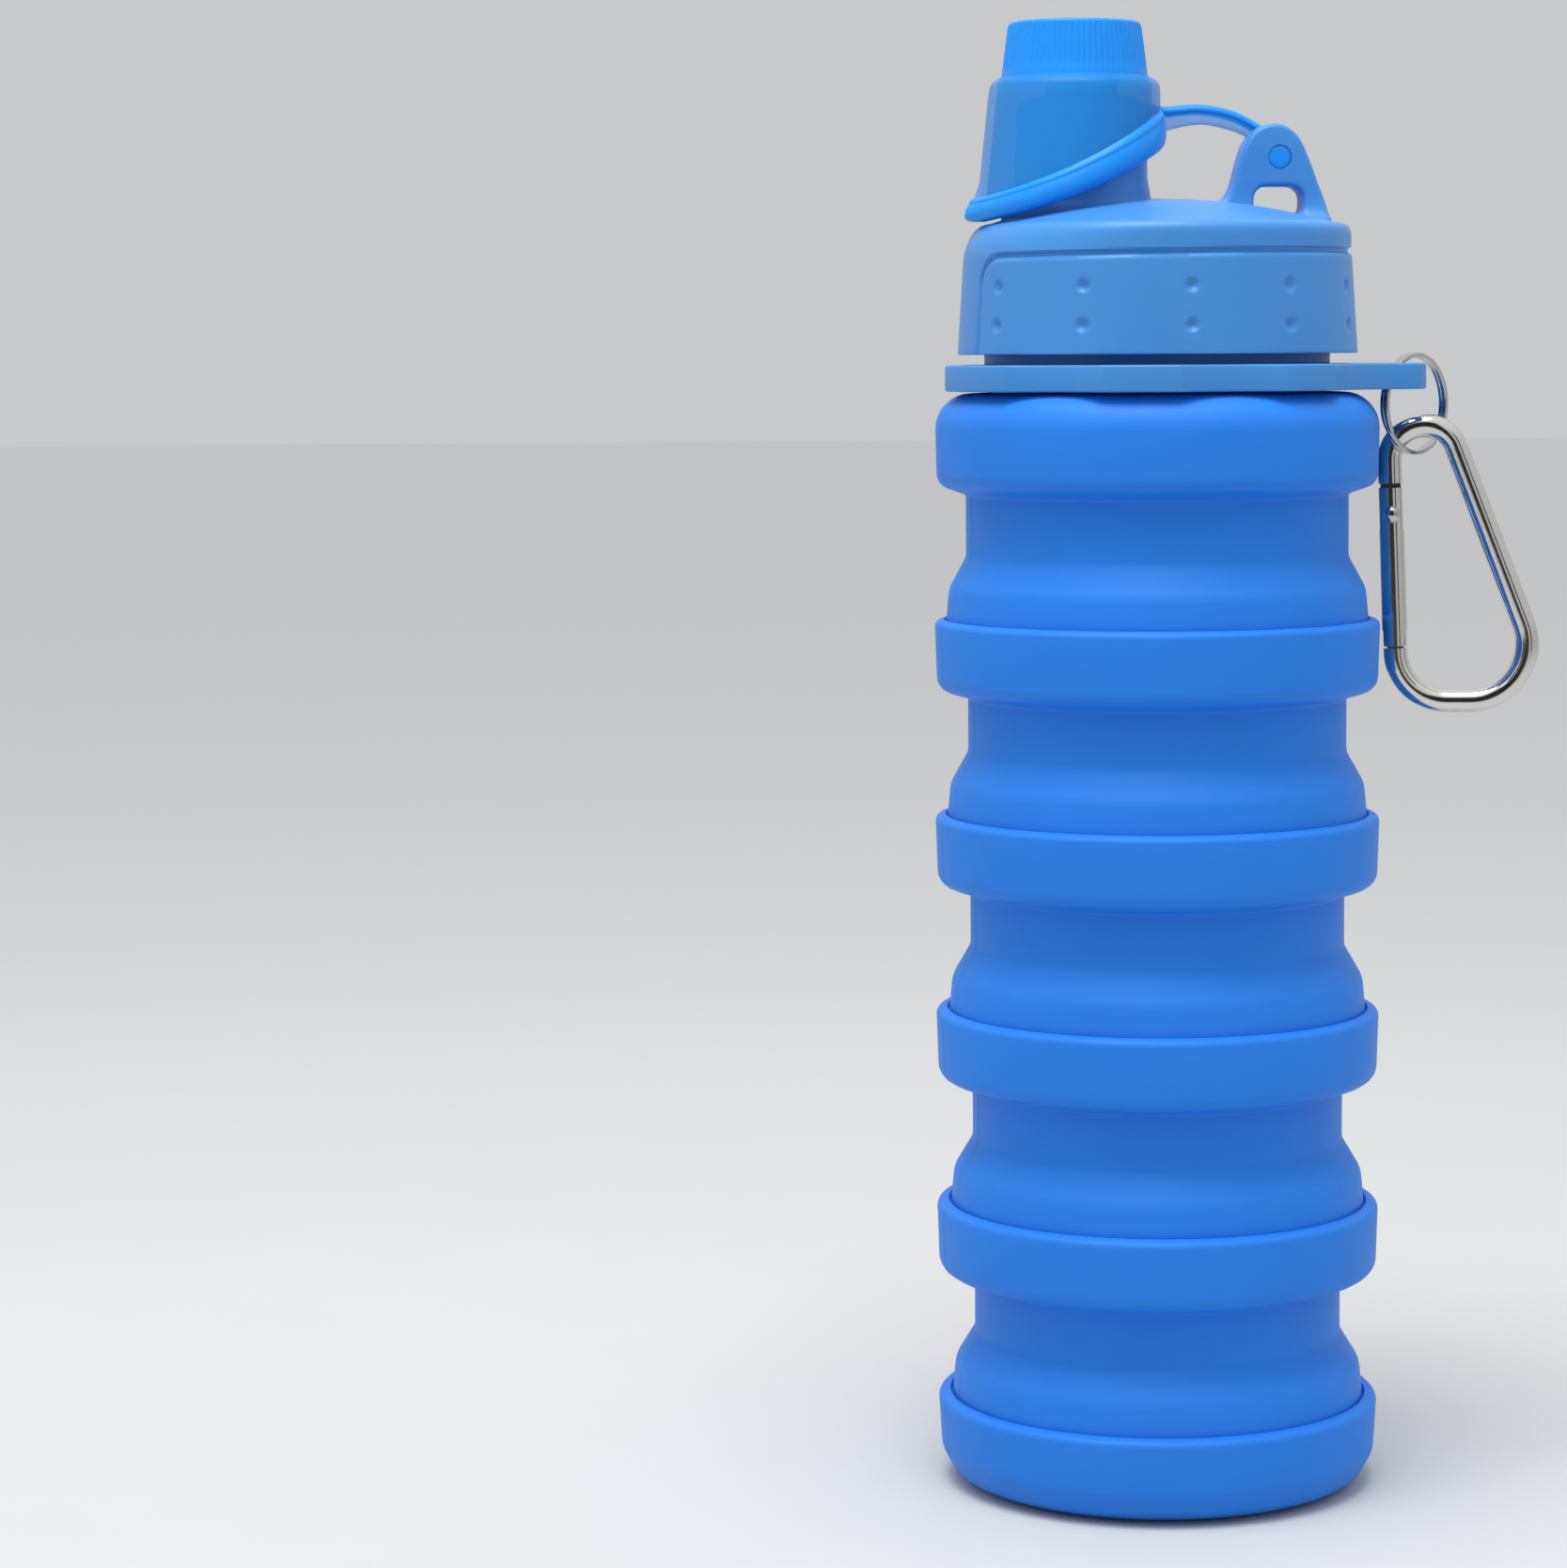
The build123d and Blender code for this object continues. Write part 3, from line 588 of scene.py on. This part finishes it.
neck_hole = [(26.9 * cos(a), 26.9 * sin(a)) for a in even(180)]
flange_place = tab_turn @ Matrix.Translation((0, 0, 175.65))
collar = join(
    lathe_data(neck_outline, even(300), neck_shape),
    plate_data([flange_points, tab_hole, neck_hole], 4.1, 0.4, flange_place),
)
put(build("neck_collar_flange", *collar, PLASTIC, 32.0), "shoulder", "hard_plastic", "neck_collar")

# ---------------------------------------------------------------- lid

BAND_HALF = 161.0           # degrees either side of the loop
BAND_TOP = 194.2
BAND_CORNER = 4.2
CHANNEL_WIDTH = 1.15
CHANNEL_DEPTH = 0.55
CHANNEL_EDGE = 0.3          # width over which the channel's sides slope
DIMPLE_STEP = 31.0          # degrees
DIMPLE_LEVELS = (183.7, 189.7)
DIMPLE_RADIUS = 1.3
DIMPLE_DEPTH = 0.62
LID_MEAN_RADIUS = 31.0      # for arc lengths round the skirt


def lid_tilt(angle, z):
    """The channel over the band stands a little higher at the loop."""
    return 0.45 * cos(angle) * smooth((z - 188.0) / 6.0)


def lid_shape(angle, radius, z):
    """The lid's outside: a grip band edged by a channel, with two rows of dimples on each side."""
    if z > 194.0:
        # the shoulder is rounder on the spout's side
        off = abs((degrees(angle) + 180) % 360 - 180)
        lean = min((z - 194.0) / 5.6, 1.0) ** 1.7 * smooth((off - 95) / 60)
        radius -= 2.1 * lean * (radius / 30.0) ** 6
    if radius < 28.0 or z > 198.4:
        return radius, z
    off = abs((degrees(angle) + 180) % 360 - 180)
    level = z - lid_tilt(angle, z)
    u = radians(off - BAND_HALF) * radius
    v = level - BAND_TOP
    if u > -BAND_CORNER and v > -BAND_CORNER:
        distance = hypot(u + BAND_CORNER, v + BAND_CORNER) - BAND_CORNER
    else:
        distance = max(u, v)
    channel = smooth(distance / CHANNEL_EDGE) * smooth((CHANNEL_WIDTH - distance) / CHANNEL_EDGE)
    radius -= CHANNEL_DEPTH * channel
    if distance < CHANNEL_EDGE:
        radius += 0.12 * smooth(-distance / 0.5)
        for step in range(-2, 3):
            across = radians(off - 90 - DIMPLE_STEP * step) * LID_MEAN_RADIUS
            if abs(across) > 1.5:
                continue
            for row in DIMPLE_LEVELS:
                reach = hypot(across, level - row) / DIMPLE_RADIUS
                if reach < 1:
                    radius -= DIMPLE_DEPTH * (1 - reach**2) ** 1.5
    return radius, z


def lid_bore(angle, radius, z):
    """Outside as the skirt, inside with the thread that runs between the neck's."""
    if 26.0 < radius < 26.9 and 182.0 < z < 195.0:
        return radius - 1.3 * thread(angle, z, 182.6, 194.6, 0.5), z
    return lid_shape(angle, radius, z)


LID_BOTTOM = 179.3
DOME_TOP = 203.5
ROW = 0.24                  # height of a row of the skirt's faces
skirt_rows = []
for row in range(76):
    z = 179.5 + ROW * row
    slope = (z - LID_BOTTOM) / (194.5 - LID_BOTTOM)
    skirt_rows.append((31.35 - 0.95 * min(slope, 1.0), z))
dome_rise = DOME_TOP - 198.8
dome_radius = (30.3**2 + dome_rise**2) / (2 * dome_rise)


def dome_level(radius):
    return DOME_TOP - dome_radius + sqrt(dome_radius**2 - radius**2)


rim_points = [(30.38, 197.9), (30.3, 198.3), (30.12, 198.75), (29.78, 199.15), (29.3, 199.42), (28.6, 199.6)]
rim_points += [(27.8, 199.7), (27.0, 199.85)]
dome_points = [(26.0 - 1.3 * i, dome_level(26.0 - 1.3 * i) + 0.02) for i in range(20)] + [(0, DOME_TOP)]
lid_outline = (
    [(31.0, 179.3), (31.3, 179.36)]
    + skirt_rows
    + rim_points
    + dome_points
    + rounded([(0, 199.2, 0), (21.2, 199.2, 0.8), (21.2, 195.4, 0.3), (26.7, 195.4, 0.2)], closed=False)
    + [(26.7, 195.3 - ROW * i) for i in range(1, 53)]
    + rounded(
        [(26.7, 182.3, 0), (26.9, 182.1, 0), (28.9, 182.1, 0.4), (28.9, 179.6, 0.2), (29.2, 179.3, 0)],
        closed=False,
    )
)
lid_top = lathe("lid_with_spout", lid_outline, PLASTIC, even(760), lid_bore, crease=45.0)

SPOUT = (-11.95, 0.0)
SPOUT_BORE = 7.0
spout_outline = rounded(
    [
        (SPOUT_BORE, 198.0, 0),
        (12.6, 198.0, 0),
        (12.6, 200.6, 0),
        (11.0, 203.0, 2.2),
        (10.35, 206.5, 2.0),
        (10.15, 217.9, 0.6),
        (9.6, 218.5, 0.3),
        (SPOUT_BORE, 218.5, 0.2),
    ]
)
bore_outline = [(0, 190.0), (SPOUT_BORE, 190.0), (SPOUT_BORE, 210.0), (0, 210.0)]
cutter = lathe("cutter", bore_outline, PLASTIC, even(64), centre=SPOUT)
lid_top = cut(lid_top, cutter)
spout_part = build("spout_tube", *lathe_data(spout_outline, even(96), centre=SPOUT), PLASTIC)

LOOP_X = 19.1
STUD_Z = 210.0
loop_points = [tuple(p) for p in spline(
    [
        (7.6, 202.6), (9.2, 203.0), (10.8, 203.8), (11.9, 206.0), (12.8, 209.4), (13.9, 212.3),
        (15.6, 214.3), (17.9, 215.2), (20.2, 214.8), (22.3, 213.0), (24.0, 209.4), (25.3, 205.9),
        (26.4, 203.0), (27.3, 199.7),
    ],
    5,
)]
loop_points += [(27.4, 198.2), (7.6, 200.0)]
slot_points = rounded(
    [(15.0, 201.0, 1.6), (22.9, 200.75, 1.6), (22.9, 205.45, 2.1), (15.0, 205.45, 2.1)], steps=8
)
upright = Matrix.Rotation(radians(90), 4, "X")
loop_verts, loop_faces = plate_data([loop_points, slot_points], 5.6, 0.7, upright, 4)


def widen_foot(point):
    """The plate thickens into the dome at its foot."""
    x, y, z = point
    grow = exp(-max(z - 200.2, 0.0) / 1.1) * 1.7
    return x, y + (grow if y > 0 else -grow) * min(abs(y) / 2.8, 1.0), z


loop_part = build("carry_loop", [widen_foot(p) for p in loop_verts], loop_faces, PLASTIC)
pin_verts, pin_faces = lathe_data([(0, -6.0), (1.86, -6.0), (1.86, 6.0), (0, 6.0)], even(48))
pin = build("pin", [(LOOP_X + x, z, STUD_Z + y) for x, y, z in pin_verts], pin_faces, PLASTIC)
loop_part = cut(loop_part, pin)
whole = bmesh.new()
for part in (lid_top, spout_part, loop_part):
    whole.from_mesh(part.data)
whole.to_mesh(lid_top.data)
whole.free()
bpy.data.objects.remove(spout_part)
bpy.data.objects.remove(loop_part)
put(lid_top, "lid", "hard_plastic", "lid_shell")

# ---------------------------------------------------------------- dust cap

CAP_X = -13.0
CAP_SHOULDER = 221.3
CAP_RADIUS = 13.35          # at the shoulder
FLARE_Z = 198.0             # level at which the flared lower end is given
FLARE_RADIUS = 14.7
FLARE_SHIFT = -1.1
CAP_WALL = 1.3
RIM_SLOPE = tan(radians(21.5))


def skirt_at(z, angle, grow=0.0):
    """Point of the cap's skirt at a level and angle."""
    t = (CAP_SHOULDER - z) / (CAP_SHOULDER - FLARE_Z)
    radius = CAP_RADIUS + (FLARE_RADIUS - CAP_RADIUS) * t + grow
    return (CAP_X + FLARE_SHIFT * t + radius * cos(angle), radius * sin(angle), z)


def rim_level(angle):
    """Level of the slanted rim under a point of the skirt; it dips a little at the front and the back."""
    x = skirt_at(207.0, angle)[0]
    return 199.8 + (x + 28.5) * RIM_SLOPE - 1.5 * sin(angle) ** 2


def lip_height(angle):
    """Height of the lip's band, tallest towards the loop."""
    return 3.7 + 2.6 * (0.5 + 0.5 * cos(angle))


def rim_point(angle, share, grow):
    """Point of the lip at a share of its height, with a thumb tab on the side away from the loop."""
    level = rim_level(angle) + share * lip_height(angle)
    thumb = smooth(1 - abs(angle - pi) / radians(24)) * (1 - 0.5 * share)
    x, y, z = skirt_at(level, angle, grow)
    return x - thumb * 1.3, y, z


cap_angles = even(240)
rings = []
# share of the lip's height and how proud of the skirt it stands there
lip_rows = [
    (0.0, -CAP_WALL), (0.0, -0.45), (0.03, 0.1), (0.1, 0.5), (0.2, 0.75), (0.35, 0.88),
    (0.5, 0.86), (0.62, 0.74), (0.7, 0.64), (0.735, 0.57), (0.77, 0.6), (0.82, 0.62),
    (0.88, 0.52), (0.93, 0.34), (0.97, 0.14), (1.0, 0.0),
]
for share, grow in lip_rows:
    rings.append([rim_point(a, share, grow) for a in cap_angles])
lip_count = len(rings)
for t in (0.15, 0.35, 0.55, 0.75, 0.92):
    ring = []
    for a in cap_angles:
        bottom = rim_level(a) + lip_height(a)
        ring.append(skirt_at(bottom + (220.4 - bottom) * t, a, 0.0))
    rings.append(ring)
for radius, level in ((13.3, 220.9), (13.1, 221.4), (12.6, 221.9), (12.0, 222.3), (11.45, 222.55)):
    rings.append([(CAP_X + radius * cos(a), radius * sin(a), level) for a in cap_angles])
inner = []
for t in (1.0, 0.8, 0.5, 0.2, 0.0):
    ring = []
    for a in cap_angles:
        bottom = rim_level(a)
        ring.append(skirt_at(bottom + (CAP_SHOULDER - bottom) * t, a, -CAP_WALL))
    inner.append(ring)
sides = len(cap_angles)
skirt_verts = [point for ring in rings + inner for point in ring]
skirt_faces, face_kind = [], []
ring_total = len(rings) + len(inner)
for i in range(ring_total):
    low, high = i * sides, (i + 1) % ring_total * sides
    for j in range(sides):
        k = (j + 1) % sides
        skirt_faces.append((low + j, low + k, high + k, high + j))
    # above the lip the skirt is translucent, outside and in
    face_kind += [1 if lip_count - 1 <= i < len(rings) + 3 else 0] * sides
skirt_obj = bpy.data.meshes.new("skirt")
skirt_obj.from_pydata([(x * MM, y * MM, z * MM) for x, y, z in skirt_verts], [], skirt_faces)
skirt_obj.polygons.foreach_set("material_index", face_kind)

RIBS = 72


def knurl(angle, radius, z):
    """Upright grooves round the cap's grip."""
    if radius > 9.9 and 223.3 < z < 230.6:
        fade = smooth((z - 223.2) / 0.9) * smooth((230.6 - z) / 0.7)
        return radius - 0.16 * fade * (0.5 + 0.5 * cos(RIBS * angle)), z
    return radius, z


grip_rows = [(11.42 - 0.13 * (z - 222.8), z) for z in (222.8 + 0.55 * i for i in range(14))]
grip_outline = (
    [(0, 221.9), (11.2, 221.9), (11.5, 222.3)]
    + grip_rows
    + rounded(
        [(10.38, 230.4, 0), (10.25, 230.95, 0.7), (9.3, 230.98, 0.3), (8.9, 230.7, 0.4), (0, 230.6, 0)],
        closed=False,
    )
)
grip_verts, grip_faces = lathe_data(grip_outline, even(RIBS * 6), knurl, (CAP_X, 0.0), closed=False)


STRAP_Y = 4.3               # middle of the strap, behind the loop
strap_top = [
    (-3.2, 219.4), (-0.6, 218.7), (2.0, 218.1), (7.4, 218.45), (12.7, 217.5), (17.0, 215.3), (20.4, 212.9),
]
strap_low = [
    (-3.2, 212.2), (-0.4, 213.2), (2.2, 214.3), (6.0, 215.2), (9.5, 215.2), (14.6, 213.7), (19.0, 210.6),
]
upper = spline(strap_top, 8)
lower = spline(strap_low, 8)
strap_outline = [(p.x, p.y) for p in upper] + [(p.x, p.y) for p in reversed(lower)]
strap_place = Matrix.Translation((0, STRAP_Y, 0)) @ upright
strap = plate_data([strap_outline], 2.2, 0.5, strap_place, 3)
bead_path = [Vector((p.x, STRAP_Y, p.y - 0.75)) for p in upper]
bead = tube_data(bead_path, [(1.3 * cos(a), 0.85 * sin(a)) for a in even(20)])
eye_outline = [(LOOP_X + 3.9 * cos(a), STUD_Z + 3.9 * sin(a)) for a in even(60)]
eye = plate_data([eye_outline], 2.6, 0.5, strap_place, 3)


STUD_SIDES = 40


def stud_ring(y, radius):
    """A ring of the stud's vertices at a depth."""
    return [(LOOP_X + radius * cos(a), y, STUD_Z + radius * sin(a)) for a in even(STUD_SIDES)]


stud_profile = [(3.6, 1.8), (-2.5, 1.8), (-2.66, 1.76), (-2.72, 1.64), (-2.72, 1.0), (-2.7, 0.4)]
stud_verts = []
for y, radius in stud_profile:
    stud_verts += stud_ring(y, radius)
stud = (stud_verts, skin(len(stud_profile), STUD_SIDES))

cap_data = join((grip_verts, grip_faces), bead, eye, stud)
cap = build("dust_cap_with_strap", *cap_data, [CAP_SOLID, CAP_CLEAR, STRAP_CLEAR])
strap_mesh = bpy.data.meshes.new("strap")
strap_mesh.from_pydata([(x * MM, y * MM, z * MM) for x, y, z in strap[0]], [], strap[1])
strap_mesh.polygons.foreach_set("material_index", [2] * len(strap_mesh.polygons))
whole = bmesh.new()
for mesh in (cap.data, skirt_obj, strap_mesh):
    whole.from_mesh(mesh)
bmesh.ops.recalc_face_normals(whole, faces=whole.faces)
whole.to_mesh(cap.data)
whole.free()
cap.data.shade_smooth()
cap.data.set_sharp_from_angle(angle=radians(40))
bpy.data.meshes.remove(skirt_obj)
bpy.data.meshes.remove(strap_mesh)
put(cap, "dust_cap", "cap_plastic", "dust_cap")

# ---------------------------------------------------------------- split ring

KEY_ANGLE = radians(40.0)
key_dir = Vector((cos(KEY_ANGLE), sin(KEY_ANGLE), 0))
key_axis = Vector((sin(KEY_ANGLE), -cos(KEY_ANGLE), 0))
key_low, key_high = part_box("key_ring")
key_middle = (key_low + key_high) / 2 / MM
key_path = []
KEY_RADIUS = 7.7
KEY_STEPS = 240
for step in range(KEY_STEPS + 1):
    turn = 4 * pi * step / KEY_STEPS + radians(215)
    t = step / KEY_STEPS
    lay = -0.37 + 0.74 * smooth((t - 0.46) / 0.08)
    key_path.append(
        key_middle
        + key_dir * KEY_RADIUS * cos(turn)
        + Vector((0, 0, 1)) * KEY_RADIUS * sin(turn)
        + key_axis * lay
    )
key_section = rounded(
    [(-0.36, -0.4, 0.22), (0.36, -0.4, 0.22), (0.36, 0.4, 0.22), (-0.36, 0.4, 0.22)], steps=3
)
key_verts = []
for i, point in enumerate(key_path):
    outward = (point - key_middle) - key_axis * (point - key_middle).dot(key_axis)
    outward.normalize()
    end = min(i, KEY_STEPS - i)
    size = 0.7 + 0.3 * smooth(end / 2)
    for u, v in key_section:
        p = point + key_axis * u * size + outward * v * size
        key_verts.append((p.x, p.y, p.z))
key_faces = skin(len(key_path), len(key_section))
put(build("split_ring", key_verts, key_faces, STEEL, 50.0), "key_ring", "steel", "key_ring")

# ---------------------------------------------------------------- carabiner

tab_dir = Vector((cos(TAB_ANGLE), sin(TAB_ANGLE), 0))
depth_dir = Vector((-sin(TAB_ANGLE), cos(TAB_ANGLE), 0))
rivet_low, rivet_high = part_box("gate_rivet")
rivet_middle = (rivet_low + rivet_high) / 2 / MM
head = [(1.3, 1.98), (1.3, 2.12), (1.18, 2.42), (0.85, 2.66), (0.45, 2.78), (0.0, 2.82)]
shank = [(0.8, 0.0), (0.8, 1.98)]
rivet_verts, rivet_faces = [], []
for way in (1, -1):
    verts, faces = lathe_data(shank + head, even(28), closed=False)
    placed = []
    for x, y, z in verts:
        p = rivet_middle + tab_dir * x + Vector((0, 0, 1)) * y + depth_dir * z * way
        placed.append((p.x, p.y, p.z))
    rivet_verts, rivet_faces = join((rivet_verts, rivet_faces), (placed, faces))
put(build("rivet_domed", rivet_verts, rivet_faces, STEEL), "gate", "steel", "gate_rivet")

for node, mat in (
    ("carabiner_frame", ALUMINIUM),
    ("carabiner_gate", ALUMINIUM),
    ("gate_plunger", STEEL),
    ("gate_spring", STEEL),
    ("lid_gasket", RUBBER),
    ("spout_nozzle", CAP_SOLID),
):
    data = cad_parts[node].data
    data.materials.clear()
    data.materials.append(mat)
    data.shade_smooth()
    data.set_sharp_from_angle(angle=radians(35))

# ---------------------------------------------------------------- studio and camera

backdrop_mat = material("studio_white", (0.6, 0.605, 0.61), 0.85, variation=0.005, grain=20.0, bump=0.0)
floor_points = [(0, -0.02), (900, -0.02), (8000, -0.02)]
backdrop = build("studio_floor", *lathe_data(floor_points, even(96), closed=False), backdrop_mat)

world = bpy.data.worlds.new("studio")
world.use_nodes = True
sky = world.node_tree.nodes
sky_coords = sky.new("ShaderNodeTexCoord")
sky_split = sky.new("ShaderNodeSeparateXYZ")
sky_ramp = sky.new("ShaderNodeValToRGB")
sky_ramp.color_ramp.elements[0].position = 0.12
sky_ramp.color_ramp.elements[0].color = (0.575, 0.582, 0.59, 1)
sky_ramp.color_ramp.elements[1].position = 0.9
sky_ramp.color_ramp.elements[1].color = (1.0, 1.0, 1.0, 1)
world.node_tree.links.new(sky_coords.outputs["Generated"], sky_split.inputs["Vector"])
world.node_tree.links.new(sky_split.outputs["Z"], sky_ramp.inputs["Fac"])
world.node_tree.links.new(sky_ramp.outputs["Color"], sky["Background"].inputs["Color"])
sky["Background"].inputs["Strength"].default_value = 1.0
bpy.context.scene.world = world


def area_light(name, place, aim, size, power):
    data = bpy.data.lights.new(name, "AREA")
    data.shape = "RECTANGLE"
    data.size, data.size_y = size
    data.energy = power
    obj = bpy.data.objects.new(name, data)
    obj.location = place
    obj.rotation_euler = (Vector(aim) - Vector(place)).to_track_quat("-Z", "Y").to_euler()
    bpy.context.scene.collection.objects.link(obj)


area_light("top_soft", (-0.12, -0.22, 0.85), (0, 0, 0.12), (0.5, 0.4), 5.2)
area_light("front_left", (-1.0, -1.1, 0.7), (0, 0, 0.12), (0.6, 0.9), 1.2)


def flag(name, place, width, height, shades=True):
    """A black card the camera doesn't see; without shades only reflections see it."""
    half = width / 2
    across = Vector((-place[1], place[0], 0)).normalized()
    corners = []
    for u, v in ((-half, 0), (half, 0), (half, height), (-half, height)):
        corners.append(tuple((Vector(place) + across * u + Vector((0, 0, v))) / MM))
    card = build(name, corners, [(0, 1, 2, 3)], material("black_card", (0.01, 0.01, 0.01), 0.9, bump=0.0))
    card.visible_camera = False
    card.visible_diffuse = shades


flag("card_left", (-0.55, -0.62, 0.02), 0.22, 0.6)
flag("card_right", (0.5, -0.75, 0.02), 0.16, 0.6)
flag("card_behind_camera", (-0.2, -1.0, 0.0), 0.8, 0.9, shades=False)

CAMERA_AZIMUTH = -10.0
CAMERA_DISTANCE = 0.6709
CAMERA_HEIGHT = 0.1798
CAMERA_YAW = 3.782
CAMERA_PITCH = 4.557
CAMERA_ROLL = 0.310

camera_data = bpy.data.cameras.new("camera")
camera_data.sensor_fit = "HORIZONTAL"
camera_data.sensor_width = 36.0
camera_data.lens = 97.35
camera_data.shift_x = -0.06
camera_data.shift_y = -0.06
camera_data.clip_start = 0.01
camera = bpy.data.objects.new("camera", camera_data)
bearing = radians(CAMERA_AZIMUTH)
camera.matrix_world = (
    Matrix.Translation((sin(bearing) * CAMERA_DISTANCE, -cos(bearing) * CAMERA_DISTANCE, CAMERA_HEIGHT))
    @ Matrix.Rotation(radians(CAMERA_AZIMUTH + CAMERA_YAW), 4, "Z")
    @ Matrix.Rotation(radians(90.0 - CAMERA_PITCH), 4, "X")
    @ Matrix.Rotation(radians(-CAMERA_ROLL), 4, "Z")
)
bpy.context.scene.collection.objects.link(camera)
bpy.context.scene.camera = camera
bpy.context.scene.view_settings.view_transform = "Standard"
